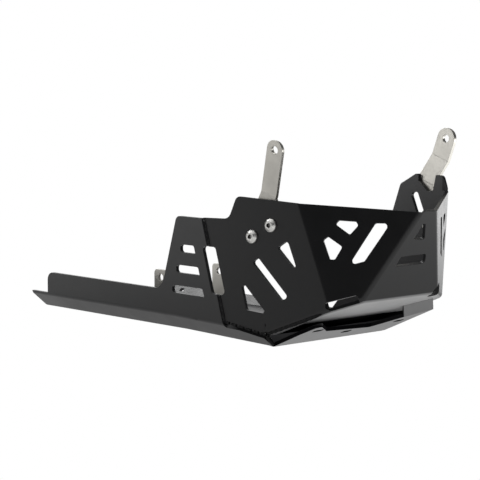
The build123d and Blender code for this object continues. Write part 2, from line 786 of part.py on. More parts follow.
sink_h = 0.5 * (sink_d - rear_d)
rear_len = sheet + tab_sheet + rear_nut_h + 1.8
rear_sunk = 0.15
nut_b = hex_nut(rear_nut_af, rear_nut_h, rear_d + 0.3)
for sy in (-rear_half, rear_half):
    rear_bracket = rear_bracket - Pos(-tab_x, sy, floor_in) * Cylinder(0.5 * rear_hole, 20.0)
    head = Cone(0.5 * sink_d, 0.5 * rear_d, sink_h, align=(Align.CENTER, Align.CENTER, Align.MIN))
    shank = Cylinder(0.5 * rear_d, rear_len, align=(Align.CENTER, Align.CENTER, Align.MIN))
    key = extrude(RegularPolygon(2.0 / sqrt(3.0) * 2.0, 6), amount=2.2)
    screw_b = head + shank - key
    rear_screws.append(Pos(-tab_x, sy, kink_rise + rear_sunk) * screw_b)
    rear_nuts.append(Pos(-tab_x, sy, floor_in + tab_sheet) * Rot(180, 0, 0) * nut_b)
rear_bracket = biggest(rear_bracket)

# Shared origin: middle of the overall box, on its underside
nodes = {
    "belly_pan": pan,
    "front_bowl": bowl,
    "right_bracket": right_bracket,
    "left_bracket": left_bracket,
    "bracket_screws": Compound(children=screws),
    "bracket_nuts": Compound(children=nuts),
    "rear_bracket": rear_bracket,
    "rear_screws": Compound(children=rear_screws),
    "rear_nuts": Compound(children=rear_nuts),
}
boxes = [shape.bounding_box() for shape in nodes.values()]
low_x, high_x = min(b.min.X for b in boxes), max(b.max.X for b in boxes)
low_y, high_y = min(b.min.Y for b in boxes), max(b.max.Y for b in boxes)
low_z = min(b.min.Z for b in boxes)
shift = Pos(-0.5 * (low_x + high_x), -0.5 * (low_y + high_y), -low_z)
for name, shape in nodes.items():
    export_step(shift * shape, "parts/" + name + ".step")
    print(name, len(shape.solids()), round(shape.volume), shape.bounding_box())
print("shift", 0.5 * (low_x + high_x), 0.5 * (low_y + high_y), low_z)
for label, frame, eye in (("right eye", near_frame, near_eye), ("left eye", far_frame, far_eye)):
    tip = frame.from_local_coords(eye.origin + eye.z_dir)
    middle = frame.from_local_coords(eye.origin)
    print(label, middle, "axis", tip - middle)
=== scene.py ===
"""Looks of the motorcycle skid plate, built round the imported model.

Everything is in the model's frame, in metres: +X forward, +Y to the left, +Z up, the origin under the middle.
"""

from __future__ import annotations

import json
import logging
import math
from dataclasses import dataclass, field, replace
from enum import Enum

import bpy
import numpy as np
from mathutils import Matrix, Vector

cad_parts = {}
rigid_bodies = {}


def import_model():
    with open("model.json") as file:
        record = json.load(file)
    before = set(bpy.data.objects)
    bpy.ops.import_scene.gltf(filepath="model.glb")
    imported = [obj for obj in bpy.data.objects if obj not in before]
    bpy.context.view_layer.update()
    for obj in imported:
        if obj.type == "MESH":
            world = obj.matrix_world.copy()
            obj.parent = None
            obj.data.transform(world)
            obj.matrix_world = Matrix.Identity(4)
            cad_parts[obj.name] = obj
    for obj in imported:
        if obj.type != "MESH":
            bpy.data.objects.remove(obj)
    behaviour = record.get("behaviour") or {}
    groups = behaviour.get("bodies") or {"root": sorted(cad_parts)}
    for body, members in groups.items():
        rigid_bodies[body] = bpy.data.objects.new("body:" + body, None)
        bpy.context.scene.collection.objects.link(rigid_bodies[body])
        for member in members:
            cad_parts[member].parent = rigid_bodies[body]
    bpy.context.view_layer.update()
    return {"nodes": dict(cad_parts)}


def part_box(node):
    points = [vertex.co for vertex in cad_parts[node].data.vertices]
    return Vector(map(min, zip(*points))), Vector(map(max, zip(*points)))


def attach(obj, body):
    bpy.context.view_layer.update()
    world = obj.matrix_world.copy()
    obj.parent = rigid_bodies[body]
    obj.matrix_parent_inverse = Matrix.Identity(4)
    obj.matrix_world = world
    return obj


LOG = logging.getLogger("skid_plate")
ROOT = "root"

Triple = tuple[float, float, float]
Span = tuple[float, float]
Socket = bpy.types.NodeSocket
Value = Socket | float | tuple[float, ...]


class Look(Enum):
    """Finishes of the pieces. The value is the material's name."""

    PAN = "black_coat_pan"
    BOWL = "black_coat_bowl"
    WELD = "black_coat_weld"
    BARE = "bare_steel"
    PLATED = "plated"


class Effect(Enum):
    """Shader groups that the finishes share. The value is the group's name."""

    GRAIN = "coat_grain"
    EDGE = "edge_mask"
    UNDER = "under_mask"
    INNER = "inner_mask"


@dataclass(frozen=True)
class CoatFinish:
    """A powder-coated surface.

    Attributes:
        colour: Linear base colour.
        roughness: Mean roughness of the coat.
        grain: Size of the coat's texture, in cells per metre.
        depth: Depth of that texture, in metres.
        wear: How light the bare edges show, from 0 to 1.
        gloss: Specular level of the open surfaces.
        floor_light: Painted floor light on the sloping underside at the front: how far its tone is lifted,
            from 0 to 1.
        sheen: Sheen of that underside at a flat angle, from 0 to 1.
        start: Where along X the underside comes out into the light, by default behind the whole part.
        inside: Whether the faces inside the front gap lose their gloss as painted shade, 0 or 1.
        inner_lift: How far the faces inside the bowl are lifted towards a lighter tone, from 0 to 1.
    """

    colour: Triple
    roughness: float
    grain: float
    depth: float
    wear: float
    gloss: float
    floor_light: float = 0.0
    sheen: float = 0.0
    start: float = -1.0
    inside: float = 0.0
    inner_lift: float = 0.0


@dataclass(frozen=True)
class MetalFinish:
    """Bare or plated metal.

    Attributes:
        colour: Linear base colour.
        roughness: Mean roughness.
        brush: Brush marks per metre across the grain.
        stain: Strength of the darker patches.
        recess_shade: Painted shade in recesses such as sockets: how dark they are, from 0 to 1.
    """

    colour: Triple
    roughness: float
    brush: float
    stain: float
    recess_shade: float


@dataclass(frozen=True)
class CameraSetup:
    """The camera of the main picture.

    Attributes:
        place: Position in the frame.
        tilt: Angle of the view from straight down, in degrees.
        turn: Angle round the vertical, in degrees.
        lens: Focal length in millimetres.
        sensor: Width of the sensor in millimetres.
        clip: Nearest and farthest distance seen.
    """

    place: Triple
    tilt: float
    turn: float
    lens: float
    sensor: float
    clip: Span


@dataclass(frozen=True)
class Card:
    """A soft light.

    Attributes:
        name: Name of the light.
        place: Position in the frame.
        aim: Point it looks at.
        size: Width and height.
        power: Radiant power in watts.
    """

    name: str
    place: Triple
    aim: Triple
    size: Span
    power: float


# Finishes
SHEET_COAT = CoatFinish(
    colour=(0.006, 0.006, 0.0066), roughness=0.34, grain=2600.0, depth=0.00003, wear=0.25, gloss=0.5
)
# The pan's and the bowl's coats are one black coat; they differ only in painted floor light, sheen, painted
# shade in the gap and the lighter inner tone.
PAN_COAT = replace(SHEET_COAT, floor_light=0.9, inside=1.0, inner_lift=0.4)
BOWL_COAT = replace(SHEET_COAT, floor_light=0.5, sheen=0.9, start=0.168, inner_lift=0.9)
WELD_COAT = CoatFinish(
    colour=(0.005, 0.005, 0.0055), roughness=0.46, grain=1900.0, depth=0.00006, wear=0.10, gloss=0.2
)
BARE_STEEL = MetalFinish(colour=(0.66, 0.64, 0.59), roughness=0.34, brush=900.0, stain=0.35, recess_shade=0.2)
PLATED = MetalFinish(colour=(0.90, 0.89, 0.86), roughness=0.40, brush=1500.0, stain=0.15, recess_shade=0.95)
NODE_LOOKS = {
    "belly_pan": Look.PAN,
    "front_bowl": Look.BOWL,
    "right_bracket": Look.BARE,
    "left_bracket": Look.BARE,
    "rear_bracket": Look.BARE,
    "bracket_screws": Look.PLATED,
    "bracket_nuts": Look.BARE,
    "rear_screws": Look.PLATED,
    "rear_nuts": Look.BARE,
}

# Coat
COAT_EDGE = 0.0007  # radius of the eased edges
COAT_SWING = 0.07  # how far the roughness goes up and down
COAT_BUMP = 0.35  # strength of the texture
RUBBED_TONE = (0.16, 0.16, 0.165)  # coat rubbed thin on an edge
FLOOR_LIGHT_TONE = (0.31, 0.31, 0.312)  # painted floor light: lighter tone of the sloping underside at the front
INNER_FACE_TONE = (0.060, 0.060, 0.062)  # lighter tone of the faces that look towards the bowl's middle
INNER_FACE_SPAN = (0.2, 0.8)  # mottling over which that lighter tone varies
INNER_FACE_LEAST = 0.7  # least share of that lighter tone
SHEEN_TONE = (0.9, 0.9, 0.9)
SHEEN_ROUGHNESS = 0.5
MOTTLE_SCALE = 38.0  # patches per metre
WEAR_SCALE = 240.0  # breaks in the wear per metre
WEAR_BREAKS = (0.35, 0.62)  # noise over which the wear sets in
EDGE_BAND = (0.998, 0.90)  # cosine between the plain and the eased normal, from flat to edge
EDGE_SAMPLES = 6

# Metal
METAL_EDGE = 0.0005  # radius of the eased edges
METAL_SMOOTHER = 0.10  # roughness below the mean
METAL_ROUGHER = 0.12  # roughness above the mean
METAL_BUMP = 0.15  # strength of the brush marks
METAL_DEPTH = 0.00002  # depth of the brush marks
METAL_GRAIN = 700.0  # texture, in cells per metre
BRUSH_STRETCH = 0.06  # marks along the grain for each mark across it
STAIN_SPAN = (0.45, 0.75)  # mottling over which a stain sets in
STAIN_SHADE = 0.55  # stained tone for each unit of the clean one
# Painted shade in recesses, found by ambient occlusion
RECESS_SHADE_TONE = (0.02, 0.02, 0.02)
RECESS_SHADE_REACH = 0.004  # how far a recess looks for its walls
RECESS_SHADE_SPAN = (0.45, 0.80)  # open share, from deep to shallow
RECESS_SHADE_SAMPLES = 8

# Underside, front gap and inner faces
UNDER_WAY = (0.60, -0.10, -0.79)  # way that the sloping underside faces
UNDER_BAND = (0.86, 0.92)  # cosine over which a face counts as underside
UNDER_FADE = 0.018  # length over which it comes out into the light
UNDER_SCALE = 55.0  # unevenness of the painted floor light and the sheen, per metre
UNDER_SWING = (0.8, 1.2)  # least and greatest strength of the painted floor light and the sheen
RIM_BAND = (-0.084, -0.079)  # near rim of the bottom plate along Y, from lit to hidden
RIM_LIGHT = 0.7  # how far the rim is in the light, from 0 to 1
GAP_BEHIND = (0.084, 0.098)  # rear end of the front gap along X
GAP_TOP = (0.028, 0.034)  # height at which the gap ends
GAP_FACING = (-0.5, -0.2)  # upward part of the normal, from an underside to an upper face
BOWL_MIDDLE = (0.15, 0.0, 0.14)
INNER_BAND = (0.0, 0.03)  # how far the middle lies in front of a face, from none to an inner face

# Weld seams
RING = 12  # points round a bead
ROW_LENGTH = 0.0006  # distance between the rings
LEAST_ROWS = 10  # rings of the shortest bead
RIPPLE = 0.0019  # length of one ripple
RIPPLE_DEPTH = 0.16  # share of the radius
SWELL = 0.07  # second, slower change of the width, as a share of it
SWELL_RATE = 930.0  # in radians per metre
SWELL_START = 1.3  # in radians
END_LIMIT = 1.03  # fullness of the bead's ends
END_POWER = 8  # how late the bead tapers
PAN_LENGTH = 0.410  # rear end of the pan to the front bend
TOWER_LEAN = math.radians(17.3)  # joint between tower and bowl, from upright
TOWER_SEAM = (0.0225, 0.0510, 0.1020, 0.1305)  # heights of the foot, both ends of the slot, and the top
PLATE_SLOPE = math.radians(21.94)  # bottom plate of the bowl, from level
WALL_INWARD = 0.2085  # how far the near wall's foot turns in for each metre ahead
NOSE_Y = -0.0979  # where the near wall meets the rear edge of the bottom plate
NOSE_OFFSET = (-0.0015, 0.0, 0.0008)  # top of the nose seam, from the bottom plate over the front bend
TIP_OFFSET = (0.0015, 0.0080, 0.0022)  # its lower end, from the front bend
FOLD_OFFSET = (-0.0034, 0.0013, 0.0013)  # rear end of the seam along the near fold, from the bottom plate
FOLD_LENGTH = 0.0685  # its length along X
FAR_FOLD_OFFSET = (-0.0025, -0.0014, -0.0006)  # rear end of the far fold's seam, likewise
FAR_FOLD_LENGTH = 0.0645
INSIDE_OFFSET = (-0.0035, 0.0023, 0.0004)  # foot of the short bead behind the near wall, likewise
INSIDE_RISE = (0.0, 0.0003, 0.0140)  # its way up

# Camera, lights and floor
CAMERA = CameraSetup(
    place=(1.38535, -1.27100, 0.2815), tilt=84.43, turn=47.8, lens=123.2, sensor=36.0, clip=(0.05, 50.0)
)
CARDS = (
    Card("overhead", place=(0.0, 0.25, 1.9), aim=(0.0, 0.1, 0.0), size=(2.0, 1.4), power=26.0),
    Card("back", place=(-1.5, 1.35, 0.5), aim=(0.0, 0.0, 0.1), size=(2.6, 1.1), power=8.8),
    Card("left", place=(-0.80, -1.55, 1.40), aim=(0.15, 0.0, 0.15), size=(1.0, 0.8), power=3.6),
    Card("low", place=(-1.55, -1.60, 0.35), aim=(0.1, 0.0, 0.1), size=(1.4, 0.7), power=3.4),
    Card("lip", place=(-1.45, -0.1, 1.35), aim=(-0.1, 0.05, 0.05), size=(0.7, 0.7), power=8.5),
)
WORLD_STRENGTH = 0.07
WORLD_TONE = (0.96, 0.98, 1.0)
WHITE = (1.0, 1.0, 1.0)
FLOOR_DROP = 0.0004  # floor below the part's lowest edge
FLOOR_SIDES = (0.22, 0.42)  # distance from the middle along X over which the floor gets lighter
FLOOR_NEAR = 0.53  # glow under the middle, kept low as a painted shadow of the part in reflections
FLOOR_FAR = 0.84  # glow under both ends and past them
FLOOR_BEYOND = (0.2, 0.7)  # distance along Y, past the far side, over which it gets lighter still
FLOOR_GAIN = 2.9  # how much lighter it is there, painted light seen only in reflections

# Whole range of a mask or a noise
UNIT = (0.0, 1.0)


def opaque(colour: Triple) -> tuple[float, float, float, float]:
    """Add full opacity to a colour.

    Args:
        colour: Linear colour.

    Returns:
        The colour with its opacity.
    """
    return (*colour, 1.0)


@dataclass(frozen=True)
class Wiring:
    """Adds nodes to one shader tree and joins them.

    Attributes:
        tree: The tree to work in.
    """

    tree: bpy.types.NodeTree

    def feed(self, target: Socket, value: Value) -> None:
        """Link an input, or set it where the value is a constant.

        Args:
            target: Socket of the input.
            value: Another node's socket, or a constant.
        """
        if isinstance(value, Socket):
            self.tree.links.new(value, target)
        else:
            target.default_value = value

    def fill(self, node: bpy.types.Node, inputs: dict[str | int, Value]) -> None:
        """Feed several inputs of a node.

        Args:
            node: The node.
            inputs: Values by the name or number of the input.
        """
        for key, value in inputs.items():
            self.feed(node.inputs[key], value)

    def node(self, kind: str, inputs: dict[str | int, Value], **settings: object) -> bpy.types.Node:
        """Add a node.

        Args:
            kind: Type of the node, without the prefix that all shader nodes have.
            inputs: Values by the name or number of the input.
            settings: Properties of the node, which are set first.

        Returns:
            The new node.
        """
        made = self.tree.nodes.new("ShaderNode" + kind)
        for name, value in settings.items():
            setattr(made, name, value)
        self.fill(made, inputs)
        return made

    def place(self) -> Socket:
        """Place on the piece, in the model's frame.

        Returns:
            Socket with the place.
        """
        return self.node("TexCoord", {}).outputs["Object"]

    def split(self, vector: Socket) -> bpy.types.NodeOutputs:
        """Split a vector into its parts.

        Args:
            vector: Socket with the vector.

        Returns:
            Sockets named X, Y and Z.
        """
        return self.node("SeparateXYZ", {"Vector": vector}).outputs

    def noise(self, vector: Socket, scale: Socket | float, detail: float, roughness: float = 0.5) -> Socket:
        """Noise about 0.5.

        Args:
            vector: Socket with the place.
            scale: Cells per metre.
            detail: Number of finer layers.
            roughness: Strength of each finer layer.

        Returns:
            Socket with the noise.
        """
        inputs = {"Vector": vector, "Scale": scale, "Detail": detail, "Roughness": roughness}
        return self.node("TexNoise", inputs).outputs["Fac"]

    def maths(self, operation: str, *values: Value, limit: bool = False) -> Socket:
        """Work out one value from others.

        Args:
            operation: Name of the operation.
            values: Sockets or constants it works on.
            limit: Whether the result is kept between 0 and 1.

        Returns:
            Socket with the result.
        """
        made = self.node("Math", dict(enumerate(values)), operation=operation, use_clamp=limit)
        return made.outputs["Value"]

    def product(self, *values: Value) -> Socket:
        """Multiply several values.

        Args:
            values: Sockets or constants.

        Returns:
            Socket with the product, kept between 0 and 1.
        """
        whole = values[0]
        for value in values[1:]:
            whole = self.maths("MULTIPLY", whole, value, limit=True)
        return whole

    def ramp(self, value: Socket, given: tuple[Value, Value], wanted: Span = UNIT) -> Socket:
        """Map a value from one range to another, kept inside the second.

        Args:
            value: Socket with the value.
            given: Both ends of its range, as sockets or constants.
            wanted: Both ends of the result's range.

        Returns:
            Socket with the result.
        """
        ends = {"From Min": given[0], "From Max": given[1], "To Min": wanted[0], "To Max": wanted[1]}
        return self.node("MapRange", {"Value": value, **ends}).outputs["Result"]

    def dot(self, first: Value, second: Value) -> Socket:
        """Dot product of two vectors.

        Args:
            first: Socket or constant.
            second: Socket or constant.

        Returns:
            Socket with the product.
        """
        return self.node("VectorMath", {0: first, 1: second}, operation="DOT_PRODUCT").outputs["Value"]

    def blend(self, share: Socket, under: Value, over: Value) -> Socket:
        """Blend two colours.

        Args:
            share: Share of the second colour.
            under: First colour, a socket or a constant with opacity.
            over: Second colour, likewise.

        Returns:
            Socket with the blended colour.
        """
        inputs = {"Factor": share, "A": under, "B": over}
        return self.node("Mix", inputs, data_type="RGBA").outputs["Result"]

    def bump(self, height: Socket, depth: float, strength: float, normal: Socket) -> Socket:
        """Raise a surface by a height.

        Args:
            height: Socket with the height, from 0 to 1.
            depth: Height in metres that 1 stands for.
            strength: Strength of the effect.
            normal: Socket with the normal to start from.

        Returns:
            Socket with the new normal.
        """
        inputs = {"Height": height, "Distance": depth, "Strength": strength, "Normal": normal}
        return self.node("Bump", inputs).outputs["Normal"]


@dataclass
class NodeGroups:
    """Builds and keeps the shader groups.

    Attributes:
        made: Groups built so far.
    """

    made: dict[Effect, bpy.types.NodeTree] = field(default_factory=dict)

    def start(
        self, effect: Effect, inputs: tuple[str, ...], values: tuple[str, ...], vectors: tuple[str, ...] = ()
    ) -> tuple[Wiring, bpy.types.NodeOutputs, bpy.types.NodeInputs]:
        """Start an empty group.

        Args:
            effect: Which group it is.
            inputs: Names of its inputs, all values.
            values: Names of the values it gives.
            vectors: Names of the vectors it gives.

        Returns:
            The wiring, the sockets that hold the inputs and the sockets that take the results.
        """
        tree = bpy.data.node_groups.new(effect.value, "ShaderNodeTree")
        for name in inputs:
            tree.interface.new_socket(name, in_out="INPUT", socket_type="NodeSocketFloat")
        for name in values:
            tree.interface.new_socket(name, in_out="OUTPUT", socket_type="NodeSocketFloat")
        for name in vectors:
            tree.interface.new_socket(name, in_out="OUTPUT", socket_type="NodeSocketVector")
        self.made[effect] = tree
        given = tree.nodes.new("NodeGroupInput").outputs
        result = tree.nodes.new("NodeGroupOutput").inputs
        return Wiring(tree), given, result

    def grain(self) -> None:
        """Fine sprayed texture: a height and a slow mottling, both about 0.5."""
        wiring, given, result = self.start(Effect.GRAIN, ("Scale",), ("Height", "Mottle"))
        place = wiring.place()
        wiring.feed(result["Height"], wiring.noise(place, given["Scale"], detail=2.0, roughness=0.55))
        wiring.feed(result["Mottle"], wiring.noise(place, MOTTLE_SCALE, detail=5.0, roughness=0.6))

    def edge(self) -> None:
        """Mask of the sharp edges, broken up by noise, and the normal with the edges eased."""
        wiring, given, result = self.start(Effect.EDGE, ("Radius",), ("Mask",), ("Normal",))
        eased = wiring.node("Bevel", {"Radius": given["Radius"]}, samples=EDGE_SAMPLES).outputs["Normal"]
        normal = wiring.node("NewGeometry", {}).outputs["Normal"]
        band = wiring.ramp(wiring.dot(eased, normal), EDGE_BAND)
        broken = wiring.ramp(wiring.noise(wiring.place(), WEAR_SCALE, detail=4.0), WEAR_BREAKS)
        wiring.feed(result["Mask"], wiring.product(band, broken))
        wiring.feed(result["Normal"], eased)

    def under(self) -> None:
        """Masks of the faces that slope down towards the front, in the light and hidden in the gap: Mask
        places painted floor light and sheen, Shade places painted shade.
        """
        wiring, given, result = self.start(Effect.UNDER, ("Start", "End", "Inside"), ("Mask", "Shade"))
        normal = wiring.node("NewGeometry", {}).outputs["True Normal"]
        spot = wiring.place()
        place = wiring.split(spot)
        band = wiring.ramp(wiring.dot(normal, UNDER_WAY), UNDER_BAND)
        front = wiring.ramp(place["X"], (given["Start"], given["End"]))
        rim = wiring.ramp(place["Y"], RIM_BAND, (RIM_LIGHT, 0.0))
        lit = wiring.maths("MAXIMUM", front, rim)
        uneven = wiring.ramp(wiring.noise(spot, UNDER_SCALE, detail=6.0), UNIT, UNDER_SWING)
        hidden = wiring.product(band, wiring.maths("SUBTRACT", 1.0, lit))
        ahead = wiring.ramp(place["X"], GAP_BEHIND)
        low = wiring.ramp(place["Z"], GAP_TOP, (1.0, 0.0))
        upper = wiring.ramp(wiring.split(normal)["Z"], GAP_FACING)
        floor = wiring.product(ahead, low, upper, given["Inside"])
        wiring.feed(result["Mask"], wiring.product(band, lit, uneven))
        wiring.feed(result["Shade"], wiring.maths("MAXIMUM", hidden, floor))

    def inner(self) -> None:
        """Mask of the faces that look towards the middle of the bowl, which get a lighter tone."""
        wiring, _, result = self.start(Effect.INNER, (), ("Mask",))
        normal = wiring.node("NewGeometry", {}).outputs["True Normal"]
        ends = {0: BOWL_MIDDLE, 1: wiring.place()}
        inward = wiring.node("VectorMath", ends, operation="SUBTRACT").outputs["Vector"]
        wiring.feed(result["Mask"], wiring.ramp(wiring.dot(normal, inward), INNER_BAND))

    def build(self) -> None:
        """Build all groups."""
        self.grain()
        self.edge()
        self.under()
        self.inner()


@dataclass
class Finishes:
    """Builds and keeps the materials.

    Attributes:
        groups: Shader groups that they share.
        made: Materials built so far.
    """

    groups: NodeGroups
    made: dict[Look, bpy.types.Material] = field(default_factory=dict)

    def start(self, look: Look) -> tuple[Wiring, bpy.types.Node]:
        """Start a material with a Principled shader.

        Args:
            look: Which material it is.

        Returns:
            The wiring and the shader.
        """
        material = bpy.data.materials.new(look.value)
        material.use_nodes = True
        material.node_tree.nodes.clear()
        self.made[look] = material
        wiring = Wiring(material.node_tree)
        shader = wiring.node("BsdfPrincipled", {})
        wiring.node("OutputMaterial", {"Surface": shader.outputs["BSDF"]})
        return wiring, shader

    def effect(self, wiring: Wiring, effect: Effect, inputs: dict[str, float]) -> bpy.types.NodeOutputs:
        """Put a shared group into a material.

        Args:
            wiring: Wiring of the material.
            effect: Which group.
            inputs: Values by the name of the input.

        Returns:
            Sockets with the group's results.
        """
        return wiring.node("Group", inputs, node_tree=self.groups.made[effect]).outputs

    def coat(self, look: Look, finish: CoatFinish) -> None:
        """Powder coat with a fine texture, slow mottling and rubbed edges.

        Args:
            look: Which material it is.
            finish: Its values.
        """
        wiring, shader = self.start(look)
        grain = self.effect(wiring, Effect.GRAIN, {"Scale": finish.grain})
        edge = self.effect(wiring, Effect.EDGE, {"Radius": COAT_EDGE})
        reach = {"Start": finish.start, "End": finish.start + UNDER_FADE, "Inside": finish.inside}
        under = self.effect(wiring, Effect.UNDER, reach)
        inner = self.effect(wiring, Effect.INNER, {})
        rubbed = wiring.product(edge["Mask"], finish.wear)
        inner_spread = wiring.ramp(grain["Mottle"], INNER_FACE_SPAN, (INNER_FACE_LEAST * finish.inner_lift, finish.inner_lift))
        inner_lift = wiring.product(inner_spread, inner["Mask"])
        # Painted floor light: the sloping underside's tone is lifted towards a light grey.
        floor_lit = wiring.product(under["Mask"], finish.floor_light)
        tone = wiring.blend(rubbed, opaque(finish.colour), opaque(RUBBED_TONE))
        tone = wiring.blend(inner_lift, tone, opaque(INNER_FACE_TONE))
        tone = wiring.blend(floor_lit, tone, opaque(FLOOR_LIGHT_TONE))
        swing = (finish.roughness - COAT_SWING, finish.roughness + COAT_SWING)
        inputs = {
            "Base Color": tone,
            "Roughness": wiring.ramp(grain["Mottle"], UNIT, swing),
            # Gloss taken away where Shade is set: painted shade in the front gap and on the hidden part of
            # the bottom plate.
            "Specular IOR Level": wiring.ramp(under["Shade"], UNIT, (finish.gloss, 0.0)),
            "Sheen Weight": wiring.product(under["Mask"], finish.sheen),
            "Sheen Roughness": SHEEN_ROUGHNESS,
            "Sheen Tint": opaque(SHEEN_TONE),
            "Normal": wiring.bump(grain["Height"], finish.depth, COAT_BUMP, edge["Normal"]),
        }
        wiring.fill(shader, inputs)

    def metal(self, look: Look, finish: MetalFinish) -> None:
        """Bare metal with brush marks, faint stains and painted shade in recesses.

        Args:
            look: Which material it is.
            finish: Its values.
        """
        wiring, shader = self.start(look)
        scale = (finish.brush, finish.brush, finish.brush * BRUSH_STRETCH)
        squeezed = wiring.node("Mapping", {"Vector": wiring.place(), "Scale": scale}).outputs["Vector"]
        marks = wiring.noise(squeezed, scale=1.0, detail=3.0)
        grain = self.effect(wiring, Effect.GRAIN, {"Scale": METAL_GRAIN})
        edge = self.effect(wiring, Effect.EDGE, {"Radius": METAL_EDGE})
        stain = wiring.ramp(grain["Mottle"], STAIN_SPAN, (0.0, finish.stain))
        stained = tuple(STAIN_SHADE * part for part in finish.colour)
        # Painted shade: recesses such as screw sockets are darkened by ambient occlusion.
        reach = {"Distance": RECESS_SHADE_REACH}
        recess = wiring.node("AmbientOcclusion", reach, samples=RECESS_SHADE_SAMPLES, only_local=True)
        depth = wiring.ramp(recess.outputs["AO"], RECESS_SHADE_SPAN, (finish.recess_shade, 0.0))
        tone = wiring.blend(stain, opaque(finish.colour), opaque(stained))
        tone = wiring.blend(depth, tone, opaque(RECESS_SHADE_TONE))
        swing = (finish.roughness - METAL_SMOOTHER, finish.roughness + METAL_ROUGHER)
        inputs = {
            "Metallic": 1.0,
            "Base Color": tone,
            "Roughness": wiring.ramp(marks, UNIT, swing),
            "Normal": wiring.bump(marks, METAL_DEPTH, METAL_BUMP, edge["Normal"]),
        }
        wiring.fill(shader, inputs)

    def build(self) -> None:
        """Build all groups and materials."""
        self.groups.build()
        self.coat(Look.PAN, PAN_COAT)
        self.coat(Look.BOWL, BOWL_COAT)
        self.coat(Look.WELD, WELD_COAT)
        self.metal(Look.BARE, BARE_STEEL)
        self.metal(Look.PLATED, PLATED)


@dataclass(frozen=True)
class Seam:
    """A weld seam along one or more straight runs.

    Attributes:
        name: Name of the piece.
        runs: Start and end of each run.
        radius: Radius of the bead.
        stitch: Length of one stitch, or 0 for a seam without gaps.
        space: Gap between stitches.
        look: Finish of the bead.
    """

    name: str
    runs: tuple[tuple[np.ndarray, np.ndarray], ...]
    radius: float
    stitch: float = 0.0
    space: float = 0.0
    look: Look = Look.WELD

    def stitches(self) -> list[tuple[np.ndarray, np.ndarray]]:
        """Cut the runs into stitches.

        Returns:
            Start and end of each stitch.
        """
        found = []
        for first, last in self.runs:
            way = last - first
            whole = float(np.linalg.norm(way))
            count = 1
            if self.stitch > 0.0:
                count = max(1, round((whole + self.space) / (self.stitch + self.space)))
            step = (whole + self.space) / count
            for k in range(count):
                begin = k * step / whole
                end = ((k + 1) * step - self.space) / whole
                found.append((first + way * begin, first + way * end))
        return found

    def bead(self, start: np.ndarray, end: np.ndarray) -> np.ndarray:
        """Rings of one rippled round bead.

        Args:
            start: Start of the bead's middle line.
            end: End of that line.

        Returns:
            Points by row, place round the ring and axis.
        """
        whole = float(np.linalg.norm(end - start))
        along = (end - start) / whole
        side = np.cross(along, (0.0, 0.0, 1.0))
        side /= np.linalg.norm(side)
        up = np.cross(side, along)
        share = np.linspace(0.0, 1.0, max(LEAST_ROWS, round(whole / ROW_LENGTH)))
        ripple = 1.0 - RIPPLE_DEPTH + RIPPLE_DEPTH * np.abs(np.sin(np.pi * share * whole / RIPPLE))
        uneven = 1.0 + SWELL * np.sin(share * whole * SWELL_RATE + SWELL_START)
        ends = np.sqrt(np.clip(END_LIMIT - np.abs(2.0 * share - 1.0) ** END_POWER, 0.0, 1.0))
        width = (self.radius * ripple * uneven * ends)[:, None, None]
        turn = np.linspace(0.0, 2.0 * np.pi, RING, endpoint=False)[None, :, None]
        ring = np.cos(turn) * side + np.sin(turn) * up
        return (start + np.outer(share * whole, along))[:, None, :] + width * ring

    @staticmethod
    def skin(base: int, rows: int) -> list[tuple[int, ...]]:
        """Faces of one bead, closed at both ends.

        Args:
            base: Number of the bead's first point.
            rows: Number of rings.

        Returns:
            The point numbers of each face.
        """
        faces = []
        for row in range(rows - 1):
            low = base + row * RING
            high = low + RING
            for k in range(RING):
                after = (k + 1) % RING
                faces.append((low + k, low + after, high + after, high + k))
        last = base + (rows - 1) * RING
        faces.append(tuple(base + k for k in reversed(range(RING))))
        faces.append(tuple(last + k for k in range(RING)))
        return faces

    def mesh(self) -> bpy.types.Mesh:
        """All beads as one mesh.

        Returns:
            The mesh.
        """
        points = []
        faces = []
        for start, end in self.stitches():
            rings = self.bead(start, end)
            faces.extend(self.skin(len(points), len(rings)))
            points.extend(rings.reshape(-1, 3).tolist())
        mesh = bpy.data.meshes.new(self.name)
        mesh.from_pydata(points, [], faces)
        mesh.polygons.foreach_set("use_smooth", np.ones(len(faces), dtype=bool))
        mesh.update()
        return mesh

    def build(self, material: bpy.types.Material) -> bpy.types.Object:
        """Make the piece and fix it to the model.

        Args:
            material: Finish of the seam.

        Returns:
            The new object.
        """
        mesh = self.mesh()
        mesh.materials.append(material)
        piece = bpy.data.objects.new(self.name, mesh)
        bpy.context.scene.collection.objects.link(piece)
        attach(piece, ROOT)
        return piece


